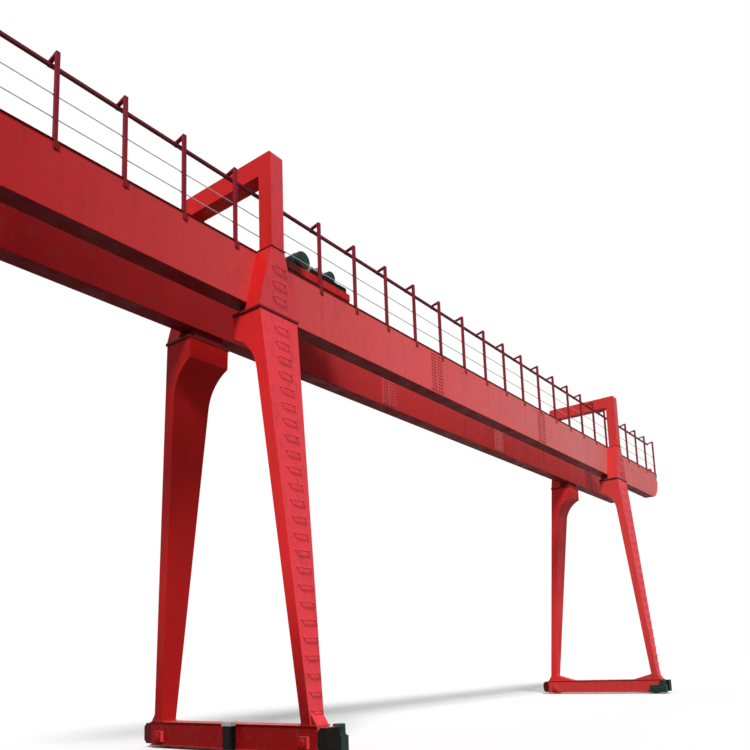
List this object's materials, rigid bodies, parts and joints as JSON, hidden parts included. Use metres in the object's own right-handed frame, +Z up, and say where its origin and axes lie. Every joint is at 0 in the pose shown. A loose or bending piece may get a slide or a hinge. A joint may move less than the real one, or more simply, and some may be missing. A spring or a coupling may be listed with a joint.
{
  "type": "double-girder gantry crane",
  "caption": "Freestanding gantry crane: twin box girders on splayed tapered legs with saddle frames, sill beams on wheels, railings and a hoist trolley that runs along the girders.",
  "frame": {"origin": "centre of the bounding box at floor level, where the travel wheels stand", "axes": "+X along the girders towards the far support, +Y towards the rear girder, +Z up"},
  "size_m": [29.88, 4.8, 11.235],
  "materials": {
    "crane_red": "worn gloss red paint",
    "railing_red": "dull dark red paint",
    "trolley_red": "worn red paint",
    "track_steel": "dark weathered paint",
    "rod_steel": "drawn bar",
    "rail_steel": "rolled rail, polished on the running face",
    "dark_paint": "dark grey paint",
    "wheel_steel": "cast steel, worn bright on the tread",
    "motor_green": "dark green machine paint",
    "drum_steel": "greased grey drum",
    "rope_steel": "greased wire rope",
    "hook_steel": "worn safety paint"
  },
  "bodies": {
    "crane": {"girder_end_plates": "crane_red", "splice_plates": "crane_red", "near_saddle": "crane_red", "far_saddle": "crane_red", "near_flange_plates": "crane_red", "far_flange_plates": "crane_red", "girder_seats": "crane_red", "near_sill_beam": "crane_red", "far_sill_beam": "crane_red", "post_brackets": "crane_red", "front_webs": "crane_red", "front_top_flange": "crane_red", "front_bottom_flange": "crane_red", "near_front_ear": "crane_red", "near_front_leg": "crane_red", "far_front_ear": "crane_red", "far_front_leg": "crane_red", "rear_webs": "crane_red", "rear_top_flange": "crane_red", "rear_bottom_flange": "crane_red", "near_rear_ear": "crane_red", "near_rear_leg": "crane_red", "far_rear_ear": "crane_red", "far_rear_leg": "crane_red", "front_rail_posts": "railing_red", "rear_rail_posts": "railing_red", "rear_handrails": "railing_red", "near_rungs": "railing_red", "far_rungs": "railing_red", "cable_track": "track_steel", "front_rail_rods": "rod_steel", "trolley_rails": "rail_steel", "trolley_stops": "crane_red", "sill_end_caps": "dark_paint", "gantry_wheels": "wheel_steel", "travel_gearboxes": "motor_green", "travel_motors": "motor_green", "terminal_box": "dark_paint"},
    "trolley": {"trolley_frame": "trolley_red", "trolley_wheels": "wheel_steel", "machine_bed": "dark_paint", "limit_switch": "drum_steel", "rope_drum": "drum_steel", "drum_stands": "trolley_red", "hoist_gearbox": "motor_green", "hoist_motor": "motor_green", "hoist_brake": "dark_paint", "trolley_motor": "motor_green", "hoist_ropes": "rope_steel", "hook_block": "dark_paint", "hook": "hook_steel"}
  },
  "joints": [
    {"name": "trolley_travel", "type": "slide", "parent": "crane", "child": "trolley", "axis": [1, 0, 0], "range_m": [-6, 20.9]}
  ]
}
